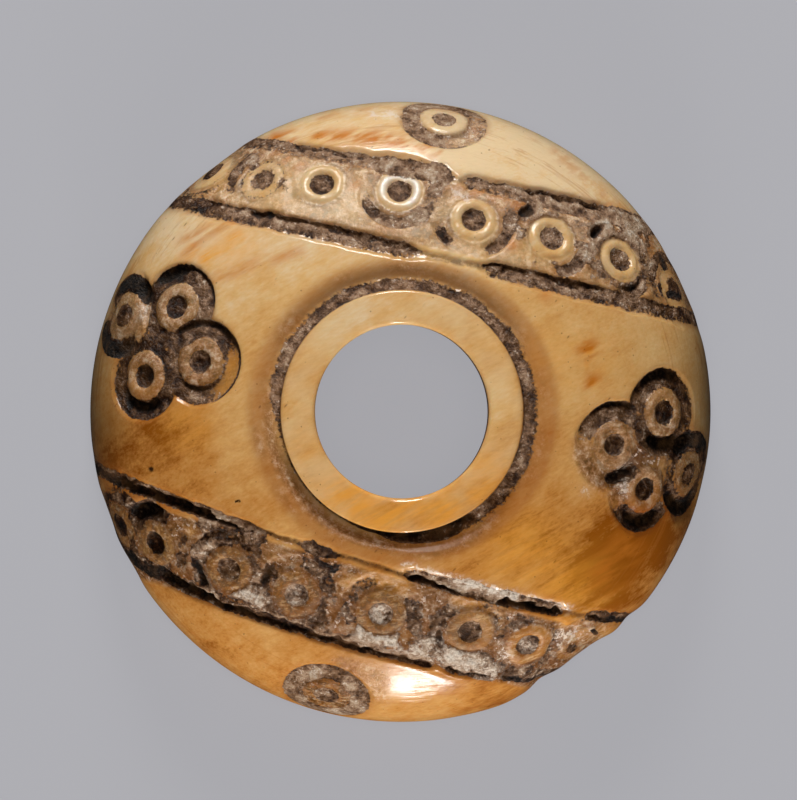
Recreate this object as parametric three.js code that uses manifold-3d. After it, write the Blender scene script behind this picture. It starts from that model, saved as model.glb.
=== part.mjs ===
// A turned bone spindle whorl: a low bun-shaped disc with a bore for the spindle's shaft, a raised
// collar and a moat round the bore's mouth, two carved bands of ring-and-dot motifs across the dome,
// and loose groups of the same motif between and beside the bands.
//
// Millimetres. +Z is up, +X runs along the bands. The origin is on the bore's axis, at the underside.

import * as THREE from 'three';
import { mergeVertices } from 'three/addons/utils/BufferGeometryUtils.js';
import Module from 'manifold-3d';

const wasm = await Module();
wasm.setup();

// The turned body.
const GIRDLE_RADIUS = 13.0; // the widest circle
const GIRDLE_HEIGHT = 1.9;
const DOME_RISE = 7.0; // how far the dome's ellipse would climb above the girdle on the axis
const FOOT_RADIUS = 11.5; // the flat underside
const SHOULDER_RADIUS = 6.3; // where the dome ends and dips into the moat
const MOAT_RADIUS = 5.6; // the outside of the moat's flat floor
const MOAT_HEIGHT = 7.35;
const COLLAR_RADIUS = 5.1;
const COLLAR_HEIGHT = 8.45;
const COLLAR_ROUNDING = 0.2;
const BORE_RADIUS = 3.6; // at the collar
const BORE_FOOT_RADIUS = 3.67; // at the underside, a little wider to suit a tapering shaft
const BORE_CHAMFER = 0.15;

// The carving.
const BAND_GROOVE_WIDTH = 0.64;
const BAND_GROOVE_DEPTH = 0.45;
const DOT_RADIUS = 0.48;
const DOT_DEPTH = 0.6;
const BOSS_RADIUS = 1.03; // the ring left standing round each dot
const RING_RADIUS = 1.85; // the outside of the groove round each boss
const RING_DEPTH = 0.3;

// How finely the round shapes are cut: facets round the body, and steps along its curves.
const TURNS = 48;
const DOME_STEPS = 7;
const FOOT_STEPS = 3;
const EDGE_STEPS = 1;
const FLOOR_TURNS = 24;
const FLOOR_STEPS = 4;
const RING_STEPS = 12;
const DOT_STEPS = 8;

const CUTTER_REACH = 3; // how far a cutter runs past the skin on either side
const OVERSIZE = 3 * GIRDLE_RADIUS; // longer than anything it cuts through

// Each band has two edge grooves and a row of motifs. `turn` is the band's angle from +X in degrees,
// `offset` a groove's distance from the bore's axis, and `lean` how far its plane tips outwards
// going up, in degrees. The motifs are hand-spaced, so each has its own place in plan.
const BANDS = [
  {
    turn: 0,
    grooves: [
      { offset: 6.6, lean: 1 },
      { offset: 10.18, lean: 5 },
    ],
    motifs: [
      [-9.93, 8.12],
      [-7.87, 8.25],
      [-5.34, 8.58],
      [-2.1, 9.0],
      [1.18, 8.5],
      [4.54, 8.46],
      [7.57, 8.25],
      [10.1, 7.57],
    ],
  },
  {
    turn: -3.2,
    grooves: [
      { offset: -6.48, lean: -8 },
      { offset: -10.04, lean: -17 },
    ],
    motifs: [
      [-10.43, -7.24],
      [-8.88, -7.66],
      [-5.6, -8.04],
      [-2.61, -8.46],
      [1.01, -8.46],
      [4.84, -8.37],
      [7.36, -8.41],
      [9.47, -8.08],
    ],
  },
];

// The motifs that stand alone: a group of four at each end, and one in each cap beyond the bands.
const LOOSE_MOTIFS = [
  [-8.69, 0.17],
  [-10.16, 2.21],
  [-12.25, 1.38],
  [-10.85, -0.93],
  [9.02, 0.59],
  [10.77, 2.4],
  [12.41, 0.08],
  [10.69, -0.93],
  [-0.93, 12.35],
  [-0.38, -12.3],
];

// Part of an ellipse about (centreR, centreZ), from one angle to another in degrees.
function arc(centreR, centreZ, halfWidth, halfHeight, from, to, steps) {
  const points = [];
  for (let step = 0; step <= steps; step += 1) {
    const angle = THREE.MathUtils.degToRad(THREE.MathUtils.lerp(from, to, step / steps));
    const r = centreR + halfWidth * Math.cos(angle);
    const z = centreZ + halfHeight * Math.sin(angle);
    points.push(new THREE.Vector2(r, z));
  }
  return points;
}

// Turns a closed outline of (radius, height) points, listed anticlockwise, about +Z.
function turned(outline, steps) {
  const loop = [...outline, outline[0].clone()];
  return new THREE.LatheGeometry(loop, steps).rotateX(Math.PI / 2);
}

function toSolid(geometry) {
  geometry.deleteAttribute('normal');
  geometry.deleteAttribute('uv');
  const merged = mergeVertices(geometry);
  const vertProperties = new Float32Array(merged.attributes.position.array);
  const triVerts = new Uint32Array(merged.index.array);
  return new wasm.Manifold(new wasm.Mesh({ numProp: 3, vertProperties, triVerts }));
}

function toGeometry(solid) {
  const mesh = solid.getMesh();
  const geometry = new THREE.BufferGeometry();
  geometry.setAttribute('position', new THREE.BufferAttribute(mesh.vertProperties, 3));
  geometry.setIndex(new THREE.BufferAttribute(mesh.triVerts, 1));
  geometry.computeVertexNormals();
  return geometry;
}

function joined(solids) {
  return solids.reduce((sum, solid) => sum.add(solid));
}

// Crumbs left standing between crossing grooves fall away, and only the largest body stays.
function largestBody(solid) {
  const bodies = solid.decompose();
  return bodies.reduce((largest, body) => (body.volume() > largest.volume() ? body : largest));
}

// The whole body, as it leaves the lathe.
function turnedBody() {
  const rounding = COLLAR_ROUNDING;
  const shoulder = THREE.MathUtils.radToDeg(Math.acos(SHOULDER_RADIUS / GIRDLE_RADIUS));
  const shoulderZ = domeHeight(SHOULDER_RADIUS, 0);
  const outline = [
    new THREE.Vector2(BORE_FOOT_RADIUS + BORE_CHAMFER, 0),
    ...arc(FOOT_RADIUS, GIRDLE_HEIGHT, GIRDLE_RADIUS - FOOT_RADIUS, GIRDLE_HEIGHT, -90, 0, FOOT_STEPS),
    ...arc(0, GIRDLE_HEIGHT, GIRDLE_RADIUS, DOME_RISE, 0, shoulder, DOME_STEPS).slice(1),
    new THREE.Vector2((MOAT_RADIUS + SHOULDER_RADIUS) / 2, (MOAT_HEIGHT + 2 * shoulderZ) / 3),
    new THREE.Vector2(MOAT_RADIUS, MOAT_HEIGHT),
    new THREE.Vector2(COLLAR_RADIUS, MOAT_HEIGHT),
    ...arc(COLLAR_RADIUS - rounding, COLLAR_HEIGHT - rounding, rounding, rounding, 0, 90, EDGE_STEPS),
    new THREE.Vector2(BORE_RADIUS + BORE_CHAMFER, COLLAR_HEIGHT),
    new THREE.Vector2(BORE_RADIUS, COLLAR_HEIGHT - BORE_CHAMFER),
    new THREE.Vector2(BORE_FOOT_RADIUS, BORE_CHAMFER),
  ];
  return toSolid(turned(outline, TURNS));
}

// Height of the dome at a plan position.
function domeHeight(x, y) {
  const share = (x * x + y * y) / (GIRDLE_RADIUS * GIRDLE_RADIUS);
  return GIRDLE_HEIGHT + DOME_RISE * Math.sqrt(1 - share);
}

// Everything that lies deeper than `depth` under the dome. Taken away from a cutter, it leaves a
// cutter that only scores the skin, to an even depth. Below the girdle it drops straight, so a
// groove fades out where the foot rounds in.
function core(depth) {
  const radius = GIRDLE_RADIUS - depth;
  const inner = BORE_RADIUS / 2;
  const top = THREE.MathUtils.radToDeg(Math.acos(inner / radius));
  const outline = [
    new THREE.Vector2(inner, -CUTTER_REACH),
    new THREE.Vector2(radius, -CUTTER_REACH),
    ...arc(0, GIRDLE_HEIGHT, radius, DOME_RISE - depth, 0, top, FLOOR_STEPS),
  ];
  return toSolid(turned(outline, FLOOR_TURNS));
}

// A slab that stands across the dome, to cut one straight groove along a band.
function grooveSlab(band, groove) {
  const slab = new THREE.BoxGeometry(OVERSIZE, BAND_GROOVE_WIDTH, OVERSIZE);
  slab.rotateX(-THREE.MathUtils.degToRad(groove.lean));
  slab.translate(0, groove.offset, domeHeight(0, groove.offset));
  slab.rotateZ(THREE.MathUtils.degToRad(band.turn));
  return toSolid(slab);
}

// Moves a cutter made about +Z so that it stands square on the dome at a plan position.
function stoodOnDome(geometry, [x, y]) {
  const z = domeHeight(x, y);
  const across = GIRDLE_RADIUS * GIRDLE_RADIUS;
  const up = DOME_RISE * DOME_RISE;
  const normal = new THREE.Vector3(x / across, y / across, (z - GIRDLE_HEIGHT) / up).normalize();
  const turn = new THREE.Quaternion().setFromUnitVectors(new THREE.Vector3(0, 0, 1), normal);
  return geometry.applyQuaternion(turn).translate(x, y, z);
}

function ringCutter(place) {
  const outline = [
    new THREE.Vector2(BOSS_RADIUS, -CUTTER_REACH),
    new THREE.Vector2(RING_RADIUS, -CUTTER_REACH),
    new THREE.Vector2(RING_RADIUS, CUTTER_REACH),
    new THREE.Vector2(BOSS_RADIUS, CUTTER_REACH),
  ];
  return toSolid(stoodOnDome(turned(outline, RING_STEPS), place));
}

function dotCutter(place) {
  const length = DOT_DEPTH + CUTTER_REACH;
  const drill = new THREE.CylinderGeometry(DOT_RADIUS, DOT_RADIUS, length, DOT_STEPS);
  drill.rotateX(Math.PI / 2).translate(0, 0, length / 2 - DOT_DEPTH);
  return toSolid(stoodOnDome(drill, place));
}

function carvedWhorl() {
  const slabs = BANDS.flatMap((band) => band.grooves.map((groove) => grooveSlab(band, groove)));
  const places = [...BANDS.flatMap((band) => band.motifs), ...LOOSE_MOTIFS];
  const grooves = joined(slabs).subtract(core(BAND_GROOVE_DEPTH));
  const rings = joined(places.map(ringCutter)).subtract(core(RING_DEPTH));
  const dots = joined(places.map(dotCutter));
  return largestBody(turnedBody().subtract(grooves).subtract(rings).subtract(dots));
}

const bone = new THREE.MeshStandardMaterial({ color: 0xd9b273, roughness: 0.35, metalness: 0 });
const whorl = new THREE.Mesh(toGeometry(carvedWhorl()), bone);
whorl.name = 'whorl';

const model = new THREE.Group();
model.add(whorl);

export default model;
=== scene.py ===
# %% [markdown]
# # A turned and carved bone spindle whorl
#
# A spindle whorl is the small flywheel of a hand spindle. This one was turned from one piece of
# dense bone, bored for the shaft, and carved with two bands of ring-and-dot marks. The solid model
# already has the true size and the larger carving. This script makes one finer mesh to show in its
# place, with hand-cut carving, worn edges, soil packed in the cuts, and the colour of old bone.

# %% Load the solid model
import itertools
import math

import bpy
import numpy as np
from mathutils import Matrix, Vector


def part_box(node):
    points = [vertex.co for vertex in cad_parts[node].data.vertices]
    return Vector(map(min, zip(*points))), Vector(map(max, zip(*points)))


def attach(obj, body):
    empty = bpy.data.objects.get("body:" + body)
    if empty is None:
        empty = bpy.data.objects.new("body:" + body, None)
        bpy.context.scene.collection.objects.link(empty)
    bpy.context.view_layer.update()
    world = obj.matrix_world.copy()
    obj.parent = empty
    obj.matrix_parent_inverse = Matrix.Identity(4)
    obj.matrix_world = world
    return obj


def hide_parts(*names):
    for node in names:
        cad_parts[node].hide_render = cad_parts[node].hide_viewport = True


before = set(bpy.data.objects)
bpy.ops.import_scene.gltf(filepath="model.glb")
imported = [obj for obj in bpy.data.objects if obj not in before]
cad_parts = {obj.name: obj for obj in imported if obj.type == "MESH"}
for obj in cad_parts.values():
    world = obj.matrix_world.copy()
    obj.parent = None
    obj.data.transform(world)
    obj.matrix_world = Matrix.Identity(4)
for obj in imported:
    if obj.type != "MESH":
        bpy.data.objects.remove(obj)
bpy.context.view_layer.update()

low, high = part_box("whorl")
print("whorl box, mm:", [round(1000 * (high[axis] - low[axis]), 3) for axis in range(3)])

# %% [markdown]
# ## Sizes
#
# Shapes are worked out in millimetres, because the marks are a few tenths of a millimetre deep, and
# turned into Blender's metres at the end. The radius and the height come from the solid model's box.
# The other sizes repeat the ones that the solid was made with.

# %% The turned sizes
METRE = 1000.0  # millimetres
RADIUS = METRE * (high[0] - low[0]) / 2
HEIGHT = METRE * high[2]
GIRDLE = 1.9  # height of the widest circle
DOME = 7.0  # how far the dome's ellipse would climb above the girdle
FOOT = 11.5  # radius of the flat underside
COLLAR = 5.03  # radius of the raised collar
COLLAR_EDGE = 0.26  # rounding of its edges
MOAT_SHOULDER = 5.9  # radius at which the dome turns down into the moat round the collar
BORE_TOP = 3.6
BORE_FOOT = 3.67


def dome_height(x, y):
    """Height of the dome over a plan position: z = girdle + dome sqrt(1 - (x^2 + y^2) / R^2)."""
    return GIRDLE + DOME * np.sqrt(np.clip(1 - (x**2 + y**2) / RADIUS**2, 0, 1))


def dome_normal(x, y):
    """Outward normal of the dome's ellipsoid: the unit vector along (x / R^2, y / R^2, h / dome^2)."""
    rise = dome_height(x, y) - GIRDLE
    normal = np.array([x / RADIUS**2, y / RADIUS**2, rise / DOME**2])
    return normal / np.linalg.norm(normal)


print("radius", RADIUS, "height", HEIGHT)

# %% [markdown]
# ## The turned outline
#
# A lathe makes one outline all the way round, so the body starts as one closed outline of radius and
# height: out along the underside, round the foot, up over the dome, over the collar and down the
# bore. The points are spread evenly along it, but closer over the dome, where the carving is.


# %% The outline, point by point
def ellipse(centre_r, centre_z, half_r, half_z, start, stop):
    """r = centre_r + half_r cos a and z = centre_z + half_z sin a, with a from start to stop."""
    a = np.radians(np.linspace(start, stop, 200))
    return np.column_stack([centre_r + half_r * np.cos(a), centre_z + half_z * np.sin(a)])


def spread(path, rows):
    """The same path as `rows` points a constant distance apart, without its last point."""
    steps = np.linalg.norm(np.diff(path, axis=0), axis=1)
    travelled = np.concatenate([[0], np.cumsum(steps)])
    places = np.linspace(0, travelled[-1], rows, endpoint=False)
    return np.column_stack([np.interp(places, travelled, path[:, axis]) for axis in range(2)])


def turned_outline():
    """The whorl's closed outline, anticlockwise from the bore's lower edge. Rows of (r, z)."""
    collar_angle = math.degrees(math.acos(COLLAR / RADIUS))
    shoulder_angle = math.degrees(math.acos(MOAT_SHOULDER / RADIUS))
    collar_foot = float(dome_height(COLLAR, 0))
    edge = COLLAR_EDGE
    lip = HEIGHT - collar_foot
    stretches = [
        (np.array([[BORE_FOOT + edge, 0], [FOOT, 0]]), 4),
        (ellipse(FOOT, GIRDLE, RADIUS - FOOT, GIRDLE, -90, 0), 7),
        (ellipse(0, GIRDLE, RADIUS, DOME, 0, shoulder_angle), 113),
        (ellipse(0, GIRDLE, RADIUS, DOME, shoulder_angle, collar_angle), 14),
        (ellipse(COLLAR - edge, HEIGHT - lip, edge, lip, 0, 90), 5),
        (np.array([[COLLAR - edge, HEIGHT], [BORE_TOP + edge, HEIGHT]]), 5),
        (ellipse(BORE_TOP + edge, HEIGHT - edge, edge, edge, 90, 180), 5),
        (np.array([[BORE_TOP, HEIGHT - edge], [BORE_FOOT, edge]]), 4),
        (ellipse(BORE_FOOT + edge, edge, edge, edge, 180, 270), 3),
    ]
    return np.concatenate([spread(path, rows) for path, rows in stretches])


def outline_normals(outline):
    """Outward normals (dz, -dr) of a closed anticlockwise outline, from each point's neighbours."""
    tangent = np.roll(outline, -1, axis=0) - np.roll(outline, 1, axis=0)
    normal = np.column_stack([tangent[:, 1], -tangent[:, 0]])
    return normal / np.linalg.norm(normal, axis=1, keepdims=True)


outline = turned_outline()
print("outline points:", len(outline))

# %% [markdown]
# ## The grid
#
# The outline is carried round the axis to give a grid of points that closes on itself both ways,
# like the skin of a ring. Every later shape is a depth below this turned skin, measured along its
# normal, so the whole whorl stays one closed surface with no seams.

# %% Points and normals on the turned skin
COLUMNS = 620


def carry_round(profile_pairs):
    """Turns rows of (r, z) into a grid of (r sin t, -r cos t, z), with t from 0 to a full turn."""
    t = np.linspace(0, 2 * np.pi, COLUMNS, endpoint=False)
    r, z = profile_pairs[:, :1], profile_pairs[:, 1:]
    return np.stack([r * np.sin(t), -r * np.cos(t), z + 0 * t], axis=-1)


skin = carry_round(outline)
skin_normal = carry_round(outline_normals(outline))
X, Y, Z = skin[..., 0], skin[..., 1], skin[..., 2]
FROM_AXIS = np.hypot(X, Y)
on_dome = (FROM_AXIS > COLLAR - 0.01) & (Z > 0.05)
print("grid:", skin.shape[:2], "triangles:", 2 * skin.shape[0] * skin.shape[1])

# %% [markdown]
# ## Unevenness
#
# Hand work and burial leave nothing perfectly even. One repeatable random field serves for all of
# it: random values on the corners of a lattice, blended smoothly in between. Its seed is fixed, so
# every run gives the same whorl.


# %% Smooth random fields and soft steps
def lumps(points, size, seed):
    """A smooth random field from -1 to 1, with lumps about `size` mm across.

    Each corner of a cubic lattice holds a random value. Inside a cell the eight corners are blended
    with weights w = t^2 (3 - 2 t) along each axis, where t runs from 0 to 1 across the cell.
    """
    table = np.random.default_rng(seed).uniform(-1, 1, (32, 32, 32))
    scaled = points / size + 500
    cell = np.floor(scaled).astype(int)
    t = scaled - cell
    w = t * t * (3 - 2 * t)
    field = 0
    for corner in itertools.product((0, 1), repeat=3):
        place = (cell + corner) % 32
        weight = np.prod(np.where(corner, w, 1 - w), axis=-1)
        field = field + weight * table[place[..., 0], place[..., 1], place[..., 2]]
    return field


def soft_step(value, start, stop):
    """0 before start and 1 after stop, with s^2 (3 - 2 s) in between."""
    s = np.clip((value - start) / (stop - start), 0, 1)
    return s * s * (3 - 2 * s)


def bump(value, centre, reach):
    """A bell exp(-((v - centre) / reach)^2), 1 at the centre."""
    return np.exp(-(((value - centre) / reach) ** 2))


coarse = lumps(skin, 1.3, 1)
medium = lumps(skin, 0.55, 2)
fine = lumps(skin, 0.24, 3)
grit = lumps(skin, 0.13, 4)
print("random fields made")

# %% [markdown]
# ## Tools for placing wear, soil and stains
#
# Wear is local: a chip here, a packed corner there. A painted mask would be a file of its own, so
# each place is a stroke instead: a short line on the plan, with a width and soft edges. Strokes are
# collected in lists. A sector does the same round a point, and softening spreads a field out, which
# gives halos round the carving and tells ridges from hollows.


# %% Strokes, arcs and softening
def stroke(reach, *places):
    """1 along a line through the given plan places, fading as exp(-(distance / reach)^2)."""
    faded = 0
    plan = skin[..., :2]
    for start, end in zip(places, places[1:] or places):
        a, b = np.array(start), np.array(end)
        share = np.clip((plan - a) @ (b - a) / max((b - a) @ (b - a), 1e-9), 0, 1)
        distance = np.linalg.norm(plan - a - share[..., None] * (b - a), axis=-1)
        faded = np.maximum(faded, np.exp(-((distance / reach) ** 2)))
    return faded


def strongest(*strokes):
    """The strongest of several strokes at each point. Each is (weight, reach, places...)."""
    return np.max([weight * stroke(reach, *places) for weight, reach, *places in strokes], axis=0)


def total(*strokes):
    """The sum of several strokes at each point. Each is (weight, reach, places...)."""
    return sum(weight * stroke(reach, *places) for weight, reach, *places in strokes)


def sector(angle, direction, spread):
    """A bell over angles in degrees, 1 at `direction` and fading over `spread`."""
    apart = np.abs((angle - direction + 180) % 360 - 180)
    return np.exp(-((apart / spread) ** 4))


row_gap = np.linalg.norm(np.roll(outline, -1, axis=0) - outline, axis=1)
row_place = np.cumsum(row_gap)


def soften(field, reach):
    """The field averaged over about `reach` mm each way along the skin.

    Round the axis, harmonic k of a row is damped by exp(-(k reach / r)^2 / 2). Across the rows, each
    row becomes a mean of its neighbours, weighted by exp(-(distance / reach)^2 / 2).
    """
    harmonic = np.arange(COLUMNS // 2 + 1)
    damping = np.exp(-((harmonic * reach / outline[:, :1]) ** 2) / 2)
    rounded = np.fft.irfft(np.fft.rfft(field, axis=1) * damping, COLUMNS, axis=1)
    apart = row_place[:, None] - row_place[None, :]
    weight = np.exp(-((apart / reach) ** 2) / 2) * row_gap
    return weight @ rounded / weight.sum(axis=1, keepdims=True)


print("row spacing on the dome, mm:", row_gap[20].round(3))

# %% [markdown]
# ## The grooves along the bands
#
# Each band is bordered by two grooves, sawn or filed across the dome in nearly straight cuts. The
# cut's plane leans outwards as it goes up, and the wall on the outer side is the steep one. Soil
# fills the inner part of the cut. Here and there the outer part stands open, and the finish paints
# it dark as shade, and elsewhere the cut nearly fades out, to a thin stained line. A groove could be
# a boolean cut, but a depth that varies along its length is easier to wear away, and leaves no seams.

# %% Where the grooves run
# `side` is +1 for the band towards +Y and -1 for the band towards -Y. `offset` is the distance from
# the axis, `half` is half the width and `depth` the depth, in mm. `lean` and `turn` are in degrees,
# and `dark` says how black the open part is painted, as shade. Each stop is (place along the band,
# size of the cut, share of its width that stands open), and the values between stops are blended.
LOWER_TURN = -3.2  # direction of the band towards -Y, in degrees from +X
GROOVES = [
    dict(side=1, turn=0, offset=6.57, lean=1, half=0.42, depth=0.42, dark=0.62, stops=[
        (-11.2, 0.9, 0.1), (-8.2, 1.0, 0.1), (-7.8, 1.0, 0.35), (-6.6, 1.0, 0.3), (-5.8, 1.0, 0.35),
        (-3.0, 0.95, 0.45), (-1.2, 0.9, 0.4), (-0.4, 0.45, 0.1), (1.7, 0.4, 0.0), (2.3, 0.9, 0.2),
        (4.4, 1.0, 0.15), (5.8, 1.0, 0.25), (7.0, 1.0, 0.25), (7.4, 0.95, 0.1), (11.3, 0.9, 0.15)]),
    dict(side=1, turn=1.0, offset=9.95, lean=4, half=0.36, depth=0.38, dark=0.7, stops=[
        (-8.1, 0.9, 0.2), (-3.9, 0.9, 0.25), (-3.3, 0.85, 0.1), (-2.8, 1.2, 0.0), (-0.4, 1.1, 0.0),
        (0.3, 0.2, 0.0), (0.7, 0.9, 0.1), (3.2, 1.0, 0.1), (3.7, 1.2, 0.2), (4.6, 1.2, 0.12),
        (5.0, 1.2, 0.25), (8.3, 1.2, 0.2), (9.2, 1.0, 0.1)]),
    dict(side=-1, turn=LOWER_TURN, offset=6.45, lean=8, half=0.3, depth=0.46, dark=1.0, stops=[
        (-10.9, 1.1, 0.7), (-6.6, 1.1, 0.7), (-6.2, 0.9, 0.25), (-4.6, 0.9, 0.1), (-4.1, 0.45, 0.0),
        (-2.7, 0.5, 0.0), (-2.2, 0.9, 0.1), (-1.3, 0.8, 0.1), (-0.9, 0.45, 0.0), (1.8, 0.5, 0.1),
        (2.3, 1.0, 0.4), (4.3, 1.1, 0.35), (4.7, 1.1, 0.12), (5.9, 1.2, 0.12), (6.3, 1.2, 0.4),
        (8.6, 1.0, 0.4), (9.0, 0.25, 0.0), (9.6, 0.3, 0.0), (10.0, 1.0, 0.3), (11.3, 1.0, 0.4)]),
    dict(side=-1, turn=LOWER_TURN, offset=9.93, lean=17, half=0.34, depth=0.44, dark=1.0, stops=[
        (-9.1, 1.1, 0.85), (-5.9, 1.1, 0.8), (-5.2, 0.9, 0.3), (-4.4, 1.0, 0.75), (-1.3, 1.0, 0.75),
        (-0.9, 1.0, 0.55), (4.0, 1.0, 0.4), (4.4, 0.25, 0.0), (4.9, 1.0, 0.3), (6.6, 1.0, 0.2),
        (6.9, 0.2, 0.0), (7.2, 1.0, 0.5), (8.4, 1.0, 0.5)]),
]


def band_place(points, side, turn):
    """Distance along a band, and distance from the axis across it, for each point."""
    t = math.radians(turn)
    x, y = points[..., 0], points[..., 1]
    return x * math.cos(t) + y * math.sin(t), side * (y * math.cos(t) - x * math.sin(t))


def groove_cut(points, groove, ragged, lip):
    """Depth of one groove, how much stands open, and the thin line where it fades out.

    The depth is D (0.5 + 0.5 q) between two soft walls, where q runs from 0 at the inner edge to 1
    at the outer edge. The open share of the width, counted from the outer edge, is free of soil, and
    the finish paints it dark as shade. `ragged` moves the edges about, and `lip` is how far the outer
    wall is rounded over.
    """
    along, across = band_place(points, groove["side"], groove["turn"])
    start = float(dome_height(groove["offset"], 0))
    lean = math.radians(groove["lean"])
    middle = groove["offset"] + (points[..., 2] - start) * math.tan(lean)
    off = (across - middle) * math.cos(lean) + ragged
    places, sizes, shares = zip(*groove["stops"])
    size = np.interp(along + 0.12 * coarse, places, sizes)
    share = np.interp(along + 0.12 * coarse, places, shares)
    half = groove["half"] * size
    q = np.clip((off + half) / (2 * half), 0, 1)
    walls = soft_step(off, -half - 0.08, -half + 0.14) * (1 - soft_step(off, half - 0.1, half + lip))
    open_and_shaded = soft_step(q + 2.5 * ragged, 1 - share - 0.1, 1 - share + 0.15)
    open_and_shaded = open_and_shaded * soft_step(share, 0.02, 0.15)
    open_and_shaded = groove["dark"] * open_and_shaded * (1 - soft_step(off, half - 0.1, half + lip + 0.06))
    thin_line = (1 - soft_step(size, 0.45, 0.8)) * bump(off, 0, 0.12)
    return groove["depth"] * np.clip(size, 0, 1.2) * (0.5 + 0.5 * q) * walls, open_and_shaded, thin_line


ragged = 0.05 * medium + 0.04 * fine
lip = 0.05 + 0.16 * stroke(0.5, (-4.4, 10.3), (-2.6, 10.6), (-0.5, 10.4))
groove_depth, groove_open_shaded, thin_line = np.max(
    [groove_cut(skin, groove, ragged, lip) for groove in GROOVES], axis=0) * on_dome
print("deepest groove, mm:", groove_depth.max().round(3))

# %% [markdown]
# ## The ring-and-dot marks
#
# A ring-and-dot is cut with a centre bit: the middle prong drills the dot, and the outer prong
# turns a ring round it, leaving a raised boss between them. The bit was seldom held quite square to
# the sloping bone, so a ring bites deep on one side and fades out on another. Each mark is worked
# out from the distance and the direction from the bit's axis, and where marks cross, the deeper cut
# wins, as it does in the bone.

# %% The marks
# Each mark is (x, y, sink of its boss, depth of its ring all round, arcs, shadows), in mm and
# degrees. An arc (direction, spread, depth) is where the bit bit deeper. A shadow (direction,
# spread, radius, reach) is a part of the ring that stands open, which the finish paints dark as shade.
UPPER_MARKS = [
    (-9.93, 8.12, 0.06, 0.05, [(250, 50, 0.1)], []),
    (-7.87, 8.25, 0.11, 0.0, [(165, 55, 0.24)], []),
    (-5.34, 8.58, 0.0, 0.0, [(215, 30, 0.05)], []),
    (-2.1, 9.0, 0.0, 0.0, [(264, 62, 0.36)], []),
    (1.18, 8.5, 0.0, 0.0, [(-18, 38, 0.34), (222, 20, 0.26)], [(222, 14, 1.5, 0.2)]),
    (4.54, 8.46, 0.0, 0.0, [(-38, 30, 0.36), (143, 20, 0.32)], [(143, 14, 1.6, 0.25)]),
    (7.57, 8.25, 0.0, 0.03, [(-55, 24, 0.3), (143, 16, 0.32), (220, 22, 0.1)],
     [(-52, 26, 1.2, 0.16), (143, 12, 1.6, 0.2)]),
    (10.1, 7.57, 0.1, 0.1, [(140, 40, 0.15)], [(200, 30, 1.1, 0.12)]),
]
LOWER_MARKS = [
    (-10.43, -7.24, -0.03, 0.08, [(60, 60, 0.2)], [(250, 30, 1.3, 0.2)]),
    (-8.88, -7.66, 0.04, 0.06, [(118, 32, 0.4), (200, 30, 0.15)], [(118, 26, 1.5, 0.4)]),
    (-5.6, -8.04, 0.02, 0.12, [(115, 60, 0.1), (190, 40, 0.12)], [(205, 24, 1.45, 0.15)]),
    (-2.61, -8.46, 0.04, 0.08, [(60, 40, 0.1), (165, 30, 0.12)], [(160, 18, 1.5, 0.2)]),
    (1.01, -8.46, 0.04, 0.06, [(135, 30, 0.12), (10, 30, 0.1)], []),
    (4.84, -8.37, 0.05, 0.06, [(200, 30, 0.15), (60, 30, 0.08)], [(205, 16, 1.3, 0.15)]),
    (7.36, -8.41, 0.05, 0.05, [(0, 50, 0.14), (270, 40, 0.1)], []),
    (9.47, -8.08, 0.12, 0.04, [(80, 40, 0.12)], [(55, 14, 1.0, 0.07)]),
]
LOOSE_MARKS = [
    (-8.69, 0.17, 0.05, 0.2, [(90, 70, 0.16), (280, 50, 0.06)],
     [(95, 52, 1.68, 0.16), (275, 35, 1.12, 0.12), (-5, 50, 1.8, 0.06)]),
    (-10.16, 2.21, 0.04, 0.24, [(100, 60, 0.1)], [(112, 26, 1.6, 0.22), (60, 40, 1.78, 0.1)]),
    (-12.25, 1.38, 0.06, 0.08, [(85, 45, 0.3), (260, 45, 0.3)],
     [(80, 36, 1.45, 0.3), (262, 38, 1.5, 0.3)]),
    (-10.85, -0.93, 0.04, 0.2, [(265, 60, 0.2)], [(268, 48, 1.3, 0.22)]),
    (9.02, 0.59, 0.05, 0.0, [(125, 62, 0.3), (-62, 36, 0.26)],
     [(105, 36, 1.75, 0.13), (-62, 30, 1.4, 0.22)]),
    (10.77, 2.4, 0.06, 0.1, [(120, 60, 0.24), (-78, 40, 0.34), (15, 45, 0.12)],
     [(108, 34, 1.62, 0.22), (-76, 34, 1.3, 0.28)]),
    (12.41, 0.08, 0.1, 0.15, [(100, 40, 0.34), (-90, 44, 0.3)],
     [(100, 30, 1.5, 0.35), (-85, 40, 1.5, 0.3)]),
    (10.69, -0.93, 0.05, 0.03, [(-82, 52, 0.34)], [(-80, 42, 1.45, 0.22)]),
]
CAP_MARKS = [
    (-0.93, 12.35, 0.02, 0.25, [], []),
    (-0.45, -12.3, 0.05, 0.24, [(180, 60, 0.06)], []),
]
DOT = 0.5  # radius of the drilled dot
BOSS = 1.0  # radius of the boss round it
MARK_REACH = 3.5  # no mark touches the bone further from its centre than this
BEYOND = 9.0


def around(points, place):
    """Distance from a mark's axis, and direction in degrees round it, for each point.

    The axis stands square to the dome. Points out of the mark's reach get a distance of `BEYOND`.
    """
    x, y = place
    tip = np.array([x, y, dome_height(x, y)])
    axis = dome_normal(x, y)
    offset = points - tip
    height = offset @ axis
    rho = np.linalg.norm(offset - height[..., None] * axis, axis=-1)
    direction = np.degrees(np.arctan2(offset[..., 1], offset[..., 0]))
    return np.where(np.linalg.norm(offset, axis=-1) < MARK_REACH, rho, BEYOND), direction


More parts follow.
